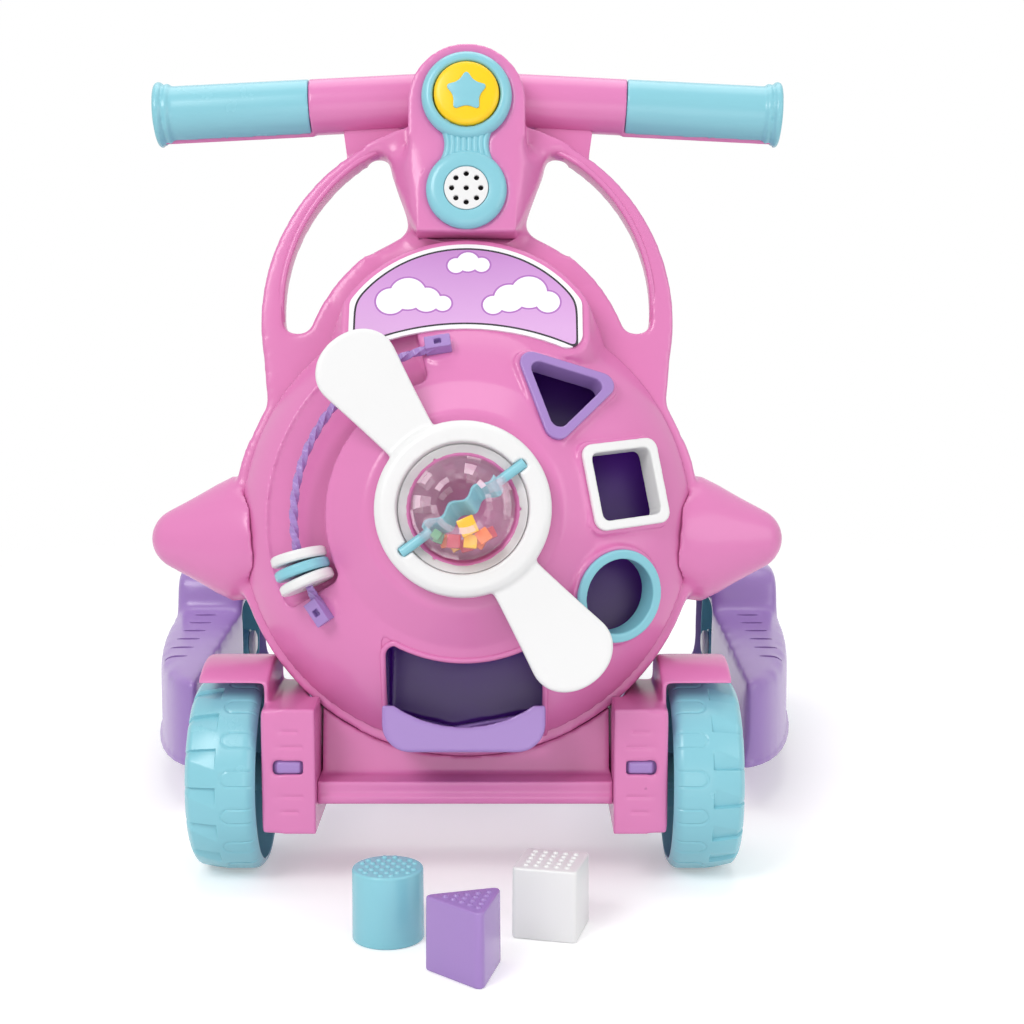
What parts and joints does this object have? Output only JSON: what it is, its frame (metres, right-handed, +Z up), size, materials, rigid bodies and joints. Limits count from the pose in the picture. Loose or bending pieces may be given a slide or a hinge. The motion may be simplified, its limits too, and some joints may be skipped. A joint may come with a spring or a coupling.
{
  "type": "ride on airplane toy",
  "caption": "Toddler ride-on toy shaped like an airplane, with a domed activity nose, spinning propeller, bead rail, shape sorter, handlebar, seat and wheels.",
  "frame": {"origin": "on the floor under the middle of the toy's outline, loose blocks included", "axes": "+Z up, +Y to the rear, +X to the viewer's right when facing the nose"},
  "size_m": [0.474, 0.6332, 0.4892],
  "materials": {
    "pink_plastic": "satin moulded",
    "teal_plastic": "satin moulded",
    "purple_plastic": "satin moulded",
    "white_plastic": "satin moulded",
    "yellow_plastic": "gloss moulded",
    "orange_plastic": "gloss moulded",
    "red_plastic": "gloss moulded",
    "green_plastic": "gloss moulded",
    "clear_plastic": "clear polished",
    "printed_panel": "printed film",
    "dark_plastic": "matte",
    "board": "matte",
    "steel": "bright drawn"
  },
  "bodies": {
    "airframe": {"nose_shell": "pink_plastic", "hoop_frame": "pink_plastic", "back_shell": "pink_plastic", "windscreen": "printed_panel", "handlebar": "pink_plastic", "grip_left": "teal_plastic", "grip_right": "teal_plastic", "console_bezel": "teal_plastic", "button_switch": "dark_plastic", "speaker_grille": "white_plastic", "speaker": "dark_plastic", "circuit_board": "board", "batteries": "dark_plastic", "battery_door": "pink_plastic", "propeller_retainer": "white_plastic", "bead_rail": "purple_plastic", "sorter_ring_triangle": "purple_plastic", "sorter_ring_square": "white_plastic", "sorter_ring_circle": "teal_plastic", "sorter_bin": "purple_plastic", "front_base": "pink_plastic", "axle_housing_left": "pink_plastic", "axle_housing_right": "pink_plastic", "front_axle": "steel", "front_hub_cap_left": "white_plastic", "front_hub_cap_right": "white_plastic", "chassis": "purple_plastic", "seat": "purple_plastic", "footrest_pod_left": "purple_plastic", "footrest_pod_right": "purple_plastic", "rear_stub_axle_left": "steel", "rear_stub_axle_right": "steel", "rear_hub_cap_left": "white_plastic", "rear_hub_cap_right": "white_plastic", "shell_screws": "steel"},
    "propeller": {"propeller": "white_plastic"},
    "rattle_ball": {"ball_front": "clear_plastic", "ball_back": "clear_plastic", "ball_axle": "teal_plastic", "chips_yellow": "yellow_plastic", "chips_orange": "orange_plastic", "chips_red": "red_plastic", "chips_green": "green_plastic"},
    "button": {"button_cap": "yellow_plastic", "button_star": "teal_plastic"},
    "upper_bead": {"bead_upper": "white_plastic"},
    "middle_bead": {"bead_middle": "teal_plastic"},
    "lower_bead": {"bead_lower": "white_plastic"},
    "front_left_wheel": {"front_wheel_left": "teal_plastic"},
    "front_right_wheel": {"front_wheel_right": "teal_plastic"},
    "rear_left_wheel": {"rear_wheel_left": "teal_plastic"},
    "rear_right_wheel": {"rear_wheel_right": "teal_plastic"},
    "round_block": {"block_cylinder": "teal_plastic"},
    "triangle_block": {"block_prism": "purple_plastic"},
    "square_block": {"block_cube": "white_plastic"}
  },
  "joints": [
    {"name": "front_left_wheel_spin", "type": "hinge", "parent": "airframe", "child": "front_left_wheel", "pos_m": [-0.1395, -0.1284, 0.057], "axis": [1, 0, 0], "continuous": true},
    {"name": "rear_left_wheel_spin", "type": "hinge", "parent": "airframe", "child": "rear_left_wheel", "pos_m": [-0.2075, 0.2466, 0.057], "axis": [1, 0, 0], "continuous": true},
    {"name": "front_right_wheel_spin", "type": "hinge", "parent": "airframe", "child": "front_right_wheel", "pos_m": [0.1395, -0.1284, 0.057], "axis": [1, 0, 0], "continuous": true},
    {"name": "rear_right_wheel_spin", "type": "hinge", "parent": "airframe", "child": "rear_right_wheel", "pos_m": [0.2075, 0.2466, 0.057], "axis": [1, 0, 0], "continuous": true},
    {"name": "propeller_spin", "type": "hinge", "parent": "airframe", "child": "propeller", "pos_m": [0, -0.18815, 0.2228], "axis": [0, -0.9744, 0.225], "continuous": true},
    {"name": "ball_spin", "type": "hinge", "parent": "propeller", "child": "rattle_ball", "pos_m": [0, -0.19497, 0.22437], "axis": [0.8049, 0.1335, 0.5782], "continuous": true},
    {"name": "button_press", "type": "slide", "parent": "airframe", "child": "button", "axis": [0, 0.9744, -0.225], "range_m": [0, 0.0025], "stiffness_N_per_m": 400, "springref_m": -0.001},
    {"name": "upper_bead_slide", "type": "hinge", "parent": "airframe", "child": "upper_bead", "pos_m": [0, -0.16135, 0.21661], "axis": [0, -0.9744, 0.225], "range_deg": [-84, 0]},
    {"name": "middle_bead_slide", "type": "hinge", "parent": "airframe", "child": "middle_bead", "pos_m": [0, -0.16135, 0.21661], "axis": [0, -0.9744, 0.225], "range_deg": [-79, 0]},
    {"name": "lower_bead_slide", "type": "hinge", "parent": "airframe", "child": "lower_bead", "pos_m": [0, -0.16135, 0.21661], "axis": [0, -0.9744, 0.225], "range_deg": [-74, 0]},
    {"name": "round_block_lift", "type": "slide", "parent": "airframe", "child": "round_block", "axis": [0, 0, 1], "range_m": [0, 0.2]},
    {"name": "triangle_block_lift", "type": "slide", "parent": "airframe", "child": "triangle_block", "axis": [0, 0, 1], "range_m": [0, 0.2]},
    {"name": "square_block_lift", "type": "slide", "parent": "airframe", "child": "square_block", "axis": [0, 0, 1], "range_m": [0, 0.2]}
  ],
  "couplings": [
    {"joint": "middle_bead_slide", "follows": "upper_bead_slide", "ratio": 0.94},
    {"joint": "lower_bead_slide", "follows": "upper_bead_slide", "ratio": 0.88}
  ]
}
